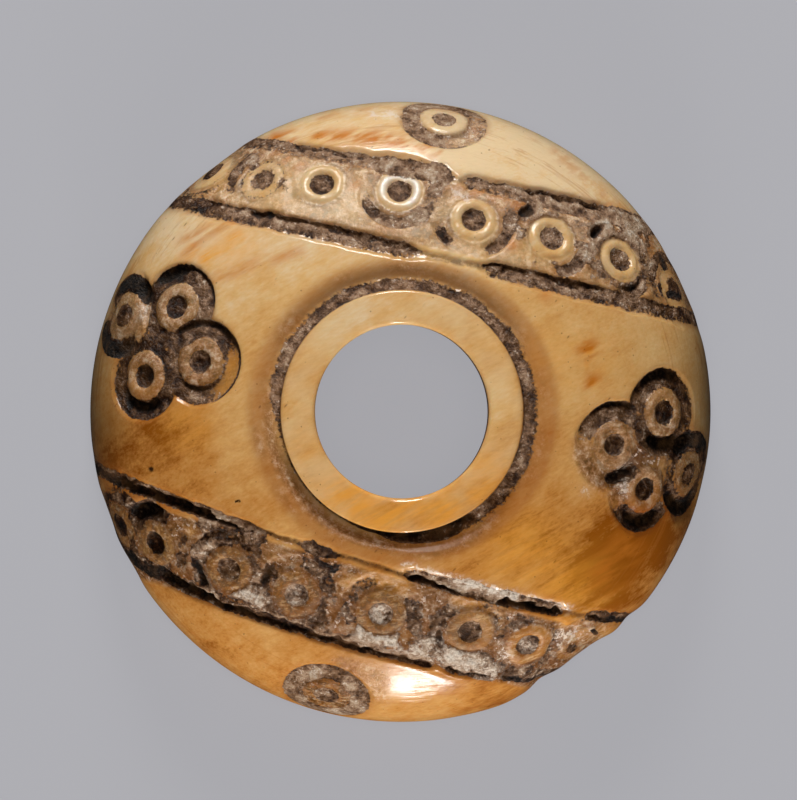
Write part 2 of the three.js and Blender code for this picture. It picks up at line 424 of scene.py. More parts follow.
def mark_cut(points, mark, crown_drop, cove, ring_start, ring_stop):
    """Depth, boss, openness and stained edge of one mark.

    The drilled dot is a round pit. The boss has a dished top, `crown_drop` deep at its edges. A
    shallow `cove` fades out round it, and the ring, between its two radii, bites deeper along its
    arcs. A boss sunk by more than 0.05 mm was worn down, so its dot is shallower too.
    """
    x, y, sink, base, arcs, shadows = mark
    rho, direction = around(points, (x, y))
    rho = rho + 0.03 * medium + 0.015 * fine + 0.06 * coarse * (x > 8.5)
    strength = 1 - 6 * max(sink - 0.05, 0)
    dot = 0.48 * strength * (1 - soft_step(rho, DOT - 0.1, DOT + 0.09))
    boss = 1 - soft_step(rho, BOSS - 0.02, BOSS + 0.08)
    crown = np.clip(sink + crown_drop * ((rho - 0.74) / 0.27) ** 2, -0.03, 0.3) * boss
    bite = base + sum(depth * sector(direction, toward, spread) for toward, spread, depth in arcs)
    hollow = cove * soft_step(rho, BOSS - 0.06, BOSS + 0.12)
    hollow = hollow * (1 - soft_step(rho, 1.15, ring_stop + 0.2))
    ring = bite * soft_step(rho, ring_start - 0.08, ring_start + 0.12)
    ring = hollow + ring * (1 - soft_step(rho, ring_stop - 0.1, ring_stop + 0.06))
    open_and_shaded = sum(sector(direction, toward, spread) * bump(rho, radius, reach)
                 for toward, spread, radius, reach in shadows) + 0 * rho
    stained_edge = bump(rho, BOSS + 0.06, 0.08) * np.clip(0.5 + 0.9 * coarse, 0.05, 1)
    depth = np.maximum(np.maximum(dot, crown), ring)
    return depth, strength * boss * (rho > DOT), np.clip(1.3 * open_and_shaded, 0, 1), stained_edge


# Each set of marks, with its crown drop, cove, and the inner and outer radius of its rings.
mark_sets = [(UPPER_MARKS, 0.14, 0.09, 1.24, 1.76), (LOWER_MARKS, 0.06, 0.06, 1.15, 1.8),
             (LOOSE_MARKS, 0.12, 0.1, 1.04, 1.85), (CAP_MARKS, 0.08, 0.05, 1.0, 1.9)]
cuts = [mark_cut(skin, mark, *profile) for marks, *profile in mark_sets for mark in marks]
mark_depth, boss, mark_open_shaded, outlined = np.max(cuts, axis=0) * on_dome
print("marks:", len(cuts), "deepest, mm:", mark_depth.max().round(3))

# %% [markdown]
# ## The moat round the collar
#
# The collar stands inside a turned moat: a steep wall against the collar, a narrow floor, and a
# soft shoulder back up to the dome. Soil lies on the floor up to an even level. Towards -Y the moat
# is narrow and nearly clean, and on that side its floor stands open, painted dark as shade.


# %% The moat
MOAT_DEPTH = 0.72
UNFILLED = 0.36  # how far the soil's surface lies below the dome


def moat_cut(points):
    """Depth of the moat, height of the soil in it, and how much stands open and dark.

    The shoulder is D (1 - s)^1.2, where s steps softly from 0 at the floor to 1 at the dome. The
    soil's height is the depth, less the unfilled part and some unevenness. The open part is painted
    dark, as shade.
    """
    r = np.hypot(points[..., 0], points[..., 1])
    angle = np.degrees(np.arctan2(points[..., 1], points[..., 0]))
    narrow = sector(angle, 243, 55)
    shoulder = 6.55 - 0.62 * narrow - 0.2 * sector(angle, 110, 60)
    climb = 1 - soft_step(r, 5.25 - 0.1 * narrow, shoulder)
    depth = MOAT_DEPTH * soft_step(r, COLLAR, COLLAR + 0.15) * climb ** 1.2
    uneven = (0.06 * medium + 0.05 * fine) * (1 - 0.7 * narrow)
    packed = depth - UNFILLED + uneven - 0.31 * sector(angle, 241, 48)
    wedge = depth - 0.4 * (1 - sector(angle, 293, 22))
    bottom = soft_step(depth, 0.58, 0.7)
    open_and_shaded = np.max([0.8 * soft_step(wedge, 0.3, 0.5), 0.8 * bottom * sector(angle, 279, 24),
                     0.35 * bottom * sector(angle, 235, 50)], axis=0)
    return depth, packed, open_and_shaded


moat_depth, moat_packed, moat_open_shaded = (field * on_dome for field in moat_cut(skin))
print("deepest moat, mm:", moat_depth.max().round(3))

# %% [markdown]
# ## Worn ground and chips
#
# The ground between the marks has suffered more than the smooth dome: in the band towards -Y it is
# sunk and lumpy all over. The ends of the bands are chipped at the rim, and a few small holes run
# into the bone. Worn bone shows its grain, so the finish also needs to know where it is.


# %% Worn ground
def band_ground(side, turn, inner, outer):
    """1 between the two grooves of a band, 0 beyond them."""
    _, across = band_place(skin, side, turn)
    inside = soft_step(across, inner - 0.1, inner + 0.15)
    return inside * (1 - soft_step(across, outer - 0.1, outer + 0.1))


lower_ground = band_ground(-1, LOWER_TURN, 6.7, 9.7) * on_dome
upper_ground = band_ground(1, 0.5, 6.9, 9.75) * on_dome
clusters = on_dome * strongest(
    (1, 2.3, (-8.7, 0.2), (-12, 0.7), (-10.3, 2.0)), (1, 2.1, (9.0, 0.6), (12, 0.4), (10.8, 1.9)))
between_right = stroke(0.9, (10.4, 0.9), (9.6, -0.2), (10.2, 1.2)) * (1 - boss) * on_dome
plan_angle = np.degrees(np.arctan2(Y, X))
worn = lower_ground * (0.8 + 0.25 * medium)
worn = np.maximum(worn, upper_ground * (0.45 + 0.3 * soft_step(Y, 8.2, 9.3) + 0.25 * coarse))
worn = np.clip(worn, 0, 1) * (1 - 0.85 * boss)
worn = np.max([
    worn, 0.8 * boss * clusters, 0.9 * between_right,
    0.7 * bump(FROM_AXIS, 5.58, 0.22) * sector(plan_angle, 240, 60),
    0.4 * bump(FROM_AXIS, 6.0, 0.25) * np.clip(0.3 + coarse, 0, 1),
    0.45 * stroke(0.5, (0.0, -10.9), (1.5, -11.1), (1.6, -11.6)) * on_dome], axis=0)
print("share of the dome that is worn:", (worn[on_dome] > 0.3).mean().round(3))

# %% Chips and holes, and everything cut away
rubble = 0.05 * medium + 0.045 * fine + 0.02 * grit
sunk = lower_ground * (0.08 + 1.2 * rubble) * (1 - 0.6 * boss) + upper_ground * (0.03 + 0.5 * rubble)
chips = on_dome * total(
    (0.38, 0.9, (10.3, -8.0), (9.3, -9.2), (8.4, -10.2)), (0.2, 0.35, (11.5, -6.6), (11.2, -6.8)),
    (0.5, 0.4, (-9.5, -6.35)), (0.3, 0.22, (9.4, 8.6)))
holes = on_dome * strongest((1, 0.17, (10.0, 7.35), (10.25, 7.3)), (1, 0.11, (9.1, 8.85), (9.5, 8.35)))
carved = np.max([groove_depth, mark_depth, moat_depth, chips * (0.9 + 0.15 * medium)], axis=0)
carved = carved + np.clip(sunk, 0, 1) + 0.35 * holes
print("deepest cut, mm:", carved.max().round(3))

# %% [markdown]
# ## Packed soil
#
# Soil is packed deepest where a cut is deep. It spreads past the cuts in a few places, and lies as a
# broken crust over the bands' ground. Some rings and some of the ground are bare. The soil has a
# thickness of its own, so it is taken off the depth of the cut that it fills.


# %% Where bone is bare and where soil is packed
def patch(place, direction, spread, radius, reach):
    """1 over part of the ring round a mark's place, with soft ends and sides."""
    rho, angle = around(skin, place)
    return sector(angle, direction, spread) * np.exp(-(((rho - radius) / reach) ** 4))


ledge = patch((-8.69, 0.17), -8, 58, 1.48, 0.34)
bare = np.max([
    ledge, patch((-12.25, 1.38), -5, 60, 1.25, 0.35), patch((9.02, 0.59), 232, 52, 1.5, 0.5),
    patch((10.69, -0.93), 165, 60, 1.45, 0.45), 0.8 * patch((-0.93, 12.35), -25, 48, 1.35, 0.4),
    patch((9.47, -8.08), 60, 150, 0.7, 1.0)], axis=0)
packed = total(
    (0.3, 0.5, (-0.9, 8.3), (-0.7, 10.0)), (0.25, 0.3, (-8.5, 9.0)), (0.25, 0.3, (-7.0, 8.2)),
    (0.3, 0.3, (6.5, 9.4), (8.4, 9.2)), (0.25, 0.35, (2.7, 9.2), (3.0, 8.6)),
    (0.25, 0.35, (6.0, 8.9), (6.0, 7.4)), (0.3, 0.35, (-6.9, -6.2), (-4.5, -6.6)),
    (0.3, 0.35, (-2.3, -6.3), (-1.3, -6.9)), (0.3, 0.25, (3.8, -6.4), (6.3, -6.5)),
    (0.3, 0.3, (0.3, -9.4), (2.6, -9.5), (3.3, -9.2)), (0.3, 0.45, (3.3, -9.2), (6.2, -9.9)),
    (0.12, 0.5, (9.7, 1.6), (10.5, 0.8)), (0.2, 0.35, (2.9, -8.0)),
    (0.25, 0.3, (-5.0, -8.8), (-4.0, -9.0)), (0.2, 0.3, (-1.0, -8.6), (-0.4, -9.0)),
    (0.25, 0.2, (-7.1, -7.6), (-6.3, -6.8), (-4.9, -6.6)), (0.12, 1.1, (-1.0, -12.3), (0.3, -12.3)))
packed = packed * (1 - 0.9 * boss)
clear = strongest(
    (1, 0.32, (-7.5, -6.9)), (0.5, 0.3, (-3.9, -7.1)), (0.5, 0.3, (2.2, -9.0)),
    (1, 0.42, (-0.7, -7.4), (0.2, -7.1), (1.7, -7.2)), (1, 0.3, (4.0, -7.2), (5.7, -7.3)),
    (1, 0.3, (8.7, -7.3)), (1, 0.5, (9.4, -7.5), (10.3, -7.3)))
print("bare and packed shares:", (bare > 0.5).mean().round(3), (packed > 0.1).mean().round(3))

# %% The soil's thickness and its edge
FILLED = 0.65  # share of a cut's depth that soil fills
SCRATCH = 0.12  # cuts shallower than this hold no soil, mm

flakes = 0.5 * coarse + 0.5 * medium + 0.35 * fine - 0.9 * clear
lower_crust = soft_step(flakes, -0.3, 0.25) * (1 - soft_step(X, 7.6, 8.6))
upper_crust = soft_step(flakes + 0.5 * soft_step(X, -1, 5), 0.3, 0.75) * (1 - 0.7 * soft_step(X, 8.6, 9.4))
crust = np.maximum(lower_ground * lower_crust, upper_ground * upper_crust) * (1 - 0.95 * boss)
# Open parts of the cuts hold no soil, and the finish paints them nearly black, as painted shadow.
open_and_shaded = np.clip(np.max([groove_open_shaded, mark_open_shaded, moat_open_shaded, holes], axis=0), 0, 1)
open_and_shaded = open_and_shaded * soft_step(carved, 0.02, 0.2) * (1 - 0.3 * soft_step(X, -2, 0) * (Y < -9))
level = FILLED * (np.maximum(groove_depth, mark_depth) - SCRATCH) * (1 - bare)
level = np.maximum(level, moat_packed) + packed * (0.6 + 0.7 * medium + 0.3 * fine) + 0.1 * crust
at_rim = soft_step(FROM_AXIS, 11.9, 12.6) * (X < 8) + soft_step(FROM_AXIS, 12.0, 12.6) * (Y > 0)
at_rim = np.clip(at_rim, 0, 1)  # soil nearly fills the cuts at the rim, so that its outline is smooth
soil = np.clip(level, 0, None) * (1 - 0.8 * open_and_shaded * (1 - at_rim))
soil = soil + 0.75 * at_rim * soft_step(carved, 0.1, 0.3) * carved
soil = np.minimum(soil, np.maximum(carved, 0.16 * packed)) * on_dome
cover = np.maximum(soft_step(soil, 0.01, 0.07), open_and_shaded)

# The edge is kept as a slope, not as 0 and 1, so that the finish can draw it finer than the mesh.
fade = 0.12 + 0.12 * (1 - soft_step(FROM_AXIS, 5.9, 6.4))
soil_edge = np.clip(np.maximum(level / fade - 0.12, 4 * open_and_shaded - 1), -3, 3)
soil_edge = np.where(on_dome, soil_edge, -3.0)
worn = np.maximum(worn, bare * np.where(X > 0, 0.9, 0.75) * (1 - ledge)) * (1 - 0.5 * clear)
print("share of the dome under soil:", (cover[on_dome] > 0.5).mean().round(3))

# %% [markdown]
# ## One mesh
#
# The finished depth moves each grid point inwards along its normal. What the finish needs to know,
# such as how much soil there is at each point, goes into the mesh as attributes: the carving and its
# colours then come from the same numbers and can't slide apart.

# %% The finished depth
texture = cover * (0.035 * grit + 0.05 * fine + 0.04 * medium)
bone_swell = 0.012 * coarse * on_dome * (1 - cover)
_, beyond_band = band_place(skin, -1, LOWER_TURN)
flattened = 0.1 * (1 - soft_step(beyond_band, 10.3, 12.1)) * soft_step(beyond_band, 9.9, 10.3)
flattened = flattened * (1 - soft_step(np.abs(X), 3, 6))
depth = carved - soil + texture + bone_swell + flattened * on_dome
depth = np.where(on_dome, np.clip(depth, 0, None), 0)
depth = depth + soft_step(FROM_AXIS, 11.9, 12.7) * (soften(depth, 0.3) - depth)  # worn smooth at the rim
points = skin - skin_normal * depth[..., None]
print("depth range, mm:", depth.min().round(3), depth.max().round(3))

# %% How light the soil is, with painted shade, and where highlights are painted
pale_soil = total(
    (1, 0.35, (0.3, -9.4), (2.6, -9.6)), (1, 0.5, (3.3, -9.2), (6.2, -9.9)),
    (1, 0.25, (3.8, -6.4), (6.3, -6.5)), (0.8, 0.35, (2.9, -8.0)),
    (0.8, 0.3, (-5.0, -8.8), (-4.0, -9.0)), (1, 0.6, (1.0, -8.46)), (0.8, 0.6, (7.36, -8.41)),
    (0.5, 0.6, (-2.6, -8.46)))
dots = soft_step(mark_depth, 0.3, 0.45) * (1 - boss)
soil_tone = 0.6 + 0.12 * coarse + 0.08 * medium + 0.22 * pale_soil
# Painted shade: the soil is darker towards both rims, in the drilled dots and, in the moat, towards +X.
soil_tone = soil_tone - 0.22 * soft_step(np.abs(X), 6, 12.5) + 0.07 * soft_step(Y, 7.5, 11)
soil_tone = soil_tone - 0.12 * lower_ground - 0.2 * dots * (1 - pale_soil)
soil_tone = soil_tone - 0.14 * (moat_packed > 0) * sector(plan_angle, 0, 75)
soil_tone = soil_tone + total(
    (0.15, 0.8, (-9.6, 3.4), (-9.0, 2.4)), (0.12, 0.7, (9.9, 3.3)),
    (-0.25, 0.5, (-2.3, -6.2), (-1.2, -7.0)), (-0.2, 0.5, (-6.4, -6.6), (-4.4, -6.6)))
# Painted highlights: spots and streaks where the bone and soil are painted pale, for glare from the lamps.
glassy = on_dome * strongest(
    (1, 0.22, (-3.9, 11.85), (-3.0, 12.05)), (1, 0.13, (2.7, 8.9), (3.2, 8.3)),
    (1, 0.2, (0.1, 9.5), (0.7, 9.3)), (1, 0.25, (-11.5, 1.5), (-11.4, 2.1)),
    (1, 0.25, (9.6, -0.3), (9.9, -1.3)), (1, 0.2, (-3.3, 7.9), (-3.0, 8.2)),
    (0.7, 0.4, (8.6, -7.9), (9.8, -7.2)), (0.7, 0.3, (6.6, -9.0)),
    (1.1, 0.18, (1.5, -6.2), (8.6, -6.45)), (0.8, 0.25, (8.2, -1.5)))
print("soil tone, mean:", soil_tone.mean().round(3))

# %% Where highlights and shade are painted on the bone, and where it is rubbed or ambered
# Painted highlight: a near-white ring on one boss's crown stands in for the far lamp's glare.
crown_rho, crown_angle = around(skin, (-2.1, 9.0))
polish = bump(crown_rho, 0.72, 0.14) * (1 - 0.85 * sector(crown_angle, 262, 50))
polish = np.maximum(polish, 0.12 * glassy)
dark_boss = boss * stroke(0.8, (-2.61, -8.46))
amber = np.max([boss * soft_step(-Y, 0, 5) * (1 - 0.7 * soft_step(X, 3, 7)), 0.5 * boss * clusters,
                0.35 * ledge, 0.1 * boss, 1.7 * dark_boss], axis=0)
rubbed = strongest((0.8, 0.35, (5.2, -7.6), (5.9, -7.9)), (0.7, 0.3, (-4.9, -7.3), (-4.3, -7.7)),
                   (0.5, 0.4, (8.6, -6.7), (11.0, -6.6)))
rubbed = on_dome * np.max([
    rubbed, 1.2 * boss * stroke(0.9, (7.36, -8.41)), 0.8 * clear, 0.25 * upper_ground], axis=0)
# Painted shade on the moat's outer slope, more towards +X. The softened cover is a real soil stain round
# the cuts.
moat_shade = (0.7 + 0.35 * sector(plan_angle, 15, 60)) * bump(FROM_AXIS, 5.95, 0.55)
halo = np.maximum(soften(cover, 0.3), moat_shade * on_dome) * (1 - 0.6 * boss * (Y > 0))
moat_line = 2.0 * bump(FROM_AXIS, 5.14, 0.1) * sector(plan_angle, 242, 52)
outline_stain = np.max([outlined, thin_line, moat_line], axis=0) * on_dome
grimy = np.maximum(lower_ground * (1 - boss) * (1 - 0.6 * clear), 1.8 * between_right)
attributes = {
    "soil": soil_edge, "soil_tone": soil_tone, "pale_soil": pale_soil, "glassy": glassy,
    "open": open_and_shaded, "worn": worn, "relief": soften(depth, 0.16) - depth, "halo": halo,
    "amber": amber, "outline": outline_stain, "polish": polish, "rubbed": rubbed, "grimy": grimy}
print("attributes:", len(attributes))


# %% Build the mesh
def grid_faces(height):
    """Two triangles between each four grid points, closed round both ways.

    Each four are split along the diagonal whose ends differ least in height, so that a steep wall
    running across the grid stays smooth.
    """
    index = np.arange(height.size).reshape(height.shape)
    right, above = np.roll(index, -1, axis=1), np.roll(index, -1, axis=0)
    corner = np.roll(right, -1, axis=0)
    level = height.reshape(-1)
    rising = np.abs(level[index] - level[corner]) < np.abs(level[right] - level[above])
    lower = np.where(rising[..., None], np.stack([index, right, corner], axis=-1),
                     np.stack([index, right, above], axis=-1))
    upper = np.where(rising[..., None], np.stack([index, corner, above], axis=-1),
                     np.stack([right, corner, above], axis=-1))
    return np.concatenate([lower.reshape(-1, 3), upper.reshape(-1, 3)])


def store(mesh, fields):
    """Keeps each named field in the mesh, as one number at every point."""
    for label, values in fields.items():
        layer = mesh.attributes.new(label, "FLOAT", "POINT")
        layer.data.foreach_set("value", values.reshape(-1).astype(np.float32))


def make_piece(name, grid, height):
    """A smooth closed mesh object from a grid of points in mm."""
    mesh = bpy.data.meshes.new(name)
    mesh.from_pydata(grid.reshape(-1, 3) / METRE, [], grid_faces(height).tolist())
    mesh.shade_smooth()
    piece = bpy.data.objects.new(name, mesh)
    bpy.context.scene.collection.objects.link(piece)
    return piece


whorl = make_piece("carved_whorl", points, depth)
store(whorl.data, attributes)
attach(whorl, "root")
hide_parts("whorl")
print("points:", len(whorl.data.vertices), "triangles:", len(whorl.data.polygons))

# %% [markdown]
# ## Writing shader sums as arithmetic
#
# A finish is a sum of masks and noises. It could be wired up node by node, but the sums would be
# hard to read. Two small classes let them be written as arithmetic: one adds any node to a material,
# and the other wraps a node's output, so that + - * on it build Math nodes.


# %% The socket and finish helpers
def tone(text):
    """A colour written as six hex digits, as the linear RGBA that Blender's shaders use."""
    parts = [int(text[i:i + 2], 16) / 255 for i in (0, 2, 4)]
    linear = [p / 12.92 if p <= 0.04045 else ((p + 0.055) / 1.055) ** 2.4 for p in parts]
    return (*linear, 1.0)


class Socket:
    """A node's output. Arithmetic on it adds Math nodes to the same material."""

    def __init__(self, finish, link):
        self.finish, self.link = finish, link

    def math(self, operation, *values):
        return self.finish.node("ShaderNodeMath", {"operation": operation}, dict(enumerate(values)))

    def __add__(self, other):
        return self.math("ADD", self, other)

    def __sub__(self, other):
        return self.math("SUBTRACT", self, other)

    def __rsub__(self, other):
        return self.math("SUBTRACT", other, self)

    def __mul__(self, other):
        return self.math("MULTIPLY", self, other)

    __radd__ = __add__
    __rmul__ = __mul__

    def step(self, start, stop):
        """0 at start and 1 at stop, smooth in between. start may be the larger."""
        settings = {"interpolation_type": "SMOOTHSTEP"}
        inputs = {"Value": self, "From Min": start, "From Max": stop, "To Min": 0.0, "To Max": 1.0}
        return self.finish.node("ShaderNodeMapRange", settings, inputs)


class Finish:
    """A material's node tree, with one method that adds a node and a few that build on it."""

    def __init__(self, name):
        self.material = bpy.data.materials.new(name)
        self.material.use_nodes = True
        self.tree = self.material.node_tree
        self.tree.nodes.clear()

    def node(self, kind, settings, inputs, output=0):
        """Adds a node: its settings first, then each input's value or link. Returns one output."""
        made = self.tree.nodes.new(kind)
        for name, value in settings.items():
            if name == "stops":
                self.set_stops(made.color_ramp, value)
            else:
                setattr(made, name, value)
        for name, value in inputs.items():
            if isinstance(value, Socket):
                self.tree.links.new(value.link, made.inputs[name])
            else:
                made.inputs[name].default_value = value
        return Socket(self, made.outputs[output]) if len(made.outputs) else None

    @staticmethod
    def set_stops(ramp, stops):
        """Gives a colour ramp its stops, as (place, colour) pairs."""
        while len(ramp.elements) < len(stops):
            ramp.elements.new(0.5)
        for element, (place, colour) in zip(ramp.elements, stops):
            element.position = place
            element.color = colour

    def attribute(self, name):
        """A field that was stored in the mesh."""
        return self.node("ShaderNodeAttribute", {"attribute_name": name}, {}, "Fac")

    def place(self, turn=0, stretch=(1, 1, 1)):
        """Object coordinates, turned by `turn` degrees and stretched along their new axes."""
        plain = self.node("ShaderNodeTexCoord", {}, {}, "Object")
        return self.node("ShaderNodeMapping", {"vector_type": "TEXTURE"}, {
            "Vector": plain, "Rotation": (0, 0, math.radians(turn)), "Scale": stretch})

    def noise(self, size, detail=2.0, roughness=0.5, **place):
        """Noise from 0 to 1 with features about `size` mm across."""
        return self.node("ShaderNodeTexNoise", {}, {
            "Vector": self.place(**place), "Scale": METRE / size, "Detail": detail,
            "Roughness": roughness})

    def specks(self, size, share, **place):
        """1 in small spots, one in each cell of `size` mm, on about `share` of the cells."""
        inputs = {"Vector": self.place(**place), "Scale": METRE / size}
        near = self.node("ShaderNodeTexVoronoi", {}, inputs, "Distance")
        pick = self.node("ShaderNodeTexVoronoi", {}, inputs, "Color")
        return near.step(0.2, 0.08) * (pick * 1.0).step(share + 0.02, share - 0.02)

    def ramp(self, factor, *stops):
        """A colour read off between (place, colour) stops."""
        return self.node("ShaderNodeValToRGB", {"stops": stops}, {"Fac": factor})

    def mix(self, factor, first, second):
        """A colour between two, by a factor from 0 to 1."""
        return self.node("ShaderNodeMix", {"data_type": "RGBA"}, {0: factor, 6: first, 7: second}, 2)

    def bumps(self, height, depth):
        """A normal bent by a height from 0 to 1, over `depth` mm."""
        return self.node("ShaderNodeBump", {}, {"Height": height, "Distance": depth / METRE})


print("helpers ready")

# %% [markdown]
# ## Stained bone
#
# Old bone is cream where it was kept dry and amber where it took up oil and soil. Rust-brown streaks
# run out from the carving, and some patches are honey-coloured, or deeper or paler than the bone
# round them. Each place is a stroke, as the wear was, and noise in the finish breaks up its edges.

# %% Rust-brown stains and honey-coloured patches
stain = strongest(
    (0.8, 0.3, (-10.4, 5.0), (-8.6, 6.1)), (0.7, 0.3, (-9.0, 3.6), (-5.6, 5.6)),
    (0.7, 0.25, (-10.2, 4.3), (-9.6, 5.4)), (1.3, 0.3, (-7.6, 10.0), (-7.0, 10.2)),
    (1.2, 0.35, (-5.9, 10.4), (-3.6, 10.9), (-1.0, 11.0)), (0.5, 0.2, (-6, 11.3), (-3.3, 12.3)),
    (1.5, 0.45, (7.0, 4.2)), (1.4, 0.4, (7.5, 2.9)), (0.6, 0.35, (4.8, 6.0)),
    (0.9, 0.8, (9.8, -4.8), (10.3, -3.6)), (0.5, 0.3, (4.0, 12.0), (9.0, 8.9)),
    (0.6, 0.5, (0.3, 9.6), (3.0, 9.4)), (0.8, 0.3, (3.0, 7.7)), (0.8, 0.3, (5.2, 7.3)),
    (0.8, 0.3, (-4.0, 8.9)), (0.8, 0.35, (-7.3, 9.3), (-6.5, 9.2)))
honey = strongest(
    (0.9, 0.9, (-1.9, -3.9), (0.3, -4.4), (2.6, -3.5)), (0.7, 0.7, (3.6, -2.6), (4.1, -1.4)),
    (0.7, 0.9, (3.0, -4.0), (1.0, -4.6)), (0.5, 0.9, (-8.6, 5.0), (-8.2, 5.2)),
    (0.6, 1.6, (6.0, -4.6), (8.6, -5.4)), (0.4, 1.2, (-8.5, -2.4)),
    (0.35, 1.5, (5.0, 3.4), (7.2, 3.6)), (0.35, 0.8, (-3.6, -2.4)), (1, 0.28, (7.0, 4.2)),
    (0.9, 0.28, (7.5, 2.9)), (0.6, 0.2, (7.1, 3.5)), (1, 0.35, (-9.4, 4.4), (-8.2, 5.6)),
    (0.8, 0.3, (-10.4, 3.9), (-9.9, 4.7)), (0.5, 0.8, (-8.4, 5.1)),
    (0.5, 0.7, (-0.8, -4.4), (1.0, -4.4)))
honey = np.max([honey, 0.5 * ledge, 0.7 * clear], axis=0)
print("stained share:", (stain > 0.3).mean().round(3), "honey:", (honey > 0.3).mean().round(3))

# %% Deeper and paler places, pores, and painted shade at the rim
deep = strongest(
    (0.9, 1.7, (-10.8, -4.2), (-10.3, -2.8)), (1, 1.9, (10.0, -4.4), (11.0, -2.6)),
    (0.35, 1.2, (-6.9, 0.9), (-6.3, -0.8)), (0.35, 1.6, (6.8, -1.0), (6.4, -3.0)),
    (0.35, 1.6, (-8.4, -2.6), (-8.2, -2.2)), (0.4, 1.0, (-9.0, -5.4), (-5.0, -5.6)))
deep = deep - 0.35 * strongest(
    (1, 1.4, (-10.0, 5.2), (-6.0, 5.2)), (0.8, 1.8, (0.5, 11.4), (4.5, 11.0)),
    (1, 0.7, (-3.4, 2.6), (-2.6, 3.4)), (0.5, 0.7, (-4.2, -0.4), (-4.1, -1.6)),
    (0.5, 0.8, (2.6, -5.9), (-2.6, -5.7)), (1, 1.1, (1.6, -11.9), (5.0, -11.2)),
    (0.8, 0.5, (4.1, 0.6), (3.9, 1.8)))
deep = deep + total(
    (0.25, 0.6, (4.2, -1.4), (3.6, -2.6)), (0.2, 0.5, (4.4, 0.6), (4.4, -0.5)),
    (0.22, 2.2, (3.5, -5.4), (9.6, -4.2)), (0.2, 1.6, (-9.2, -2.6), (-7.6, -4.2)))
deeper = strongest(
    (2, 0.5, (6.1, 0.2), (5.8, 2.4)), (1, 1.2, (-8.4, -2.5)), (0.7, 0.8, (-4.6, 5.5)),
    (0.8, 0.9, (6.7, -3.4)), (1.2, 1.0, (5.0, -5.5)), (0.8, 0.6, (4.4, 0.0)), (0.7, 0.5, (3.0, 3.0)))
deep = deep + 0.15 * np.max([deeper, 3 * ledge, 3.5 * dark_boss], axis=0)
deep = deep - 0.25 * strongest(
    (0.6, 1.2, (-10.1, 5.0)), (0.8, 0.8, (-6.8, 0.5), (-6.3, -0.9)), (1, 0.8, (11.4, -4.2)),
    (0.6, 0.9, (8.4, -3.8)), (0.5, 0.6, (2.6, -5.9)), (1.3, 1.4, (-4.4, -11.0), (-3.2, -11.8)),
    (0.9, 1.0, (4.2, -12.0)), (1.1, 1.5, (4.2, 11.8)), (0.5, 1.3, (9.2, 5.2)),
    (0.6, 0.8, (-0.8, 4.4), (1.0, 4.4)))
pore = strongest((1, 0.14, (-9.63, -4.63)), (1, 0.07, (-5.9, -5.15), (-5.75, -5.1)))
# Painted shade: the bone darkens towards the rims on either side, where the lamps give little light.
rim_shade = soft_step(np.abs(X * math.cos(0.15) + Y * math.sin(0.15)), 10.6, 13.4)
rim_shade = rim_shade * (1 - 0.35 * soft_step(Y, 0, 3) * (X < 0)) + 0.3 * stroke(1.0, (-11.8, -3.4))
above_foot = Z > 0.05
stains_and_rim_shade = {"stain": stain, "honey": honey, "deep": deep, "pore": pore, "rim_shade": rim_shade}
store(whorl.data, {label: values * above_foot for label, values in stains_and_rim_shade.items()})
print("deeper by up to", deep.max().round(2), "and paler by up to", -deep.min().round(2))

# %% [markdown]
# ## Bone
#
# Polished bone lets a little light in, so its edges glow. Its colour runs from cream on one side of
# the whorl to amber on the other, with streaks along the bone's fibres, fine lines from the lathe
# near the rim, and dark specks where the bone's canals come to the surface. The colour is built up
# in layers, each mixed over the last by a mask: the bone itself, then stains, wear, dirt, painted
# highlights and glints, and painted shade round the moat and towards the rims.

# %% The bone's grain
PALE_SIDE = math.radians(102.7)  # the direction in plan in which the bone grows paler
PALER_OVER = 36.0  # mm in which it runs from the deepest tone to the palest
GRAIN = 42  # the fibres' direction, in degrees from +X

bone = Finish("old_bone")
across_whorl = bone.node("ShaderNodeVectorMath", {"operation": "DOT_PRODUCT"}, {
    0: bone.place(), 1: (math.cos(PALE_SIDE) * METRE, math.sin(PALE_SIDE) * METRE, 0)}, "Value")
clouds = bone.noise(3.5, detail=3)
fibres = bone.noise(0.4, detail=5, roughness=0.65, turn=GRAIN, stretch=(10, 1, 3))
mottle = bone.noise(0.9, detail=4, roughness=0.6)
speckle = bone.noise(0.13, detail=3, roughness=0.7, turn=GRAIN, stretch=(3, 1, 1))
scratch = bone.noise(0.09, detail=2, turn=20, stretch=(8, 1, 1))
print("nodes so far:", len(bone.tree.nodes))

# %% Lines from the lathe
LINE_GAP = 0.16  # mm between one line and the next, about

# The lines circle the axis, so the noise that makes them reads the distance from the axis.
flat_place = bone.node("ShaderNodeVectorMath", {"operation": "MULTIPLY"}, {0: bone.place(), 1: (1, 1, 0)})
from_axis = bone.node("ShaderNodeVectorMath", {"operation": "LENGTH"}, {0: flat_place}, "Value")
wander = bone.noise(4.0, detail=1) * 4.0
lathe_lines = bone.node("ShaderNodeTexNoise", {"noise_dimensions": "2D"}, {
    "Vector": bone.node("ShaderNodeCombineXYZ", {}, {0: from_axis * (METRE / LINE_GAP), 1: wander}),
    "Scale": 1.0, "Detail": 3.0, "Roughness": 0.6})
near_rim = from_axis.step(10.4 / METRE, 11.6 / METRE)
on_collar = from_axis.step(5.4 / METRE, 5.0 / METRE)
print("nodes so far:", len(bone.tree.nodes))

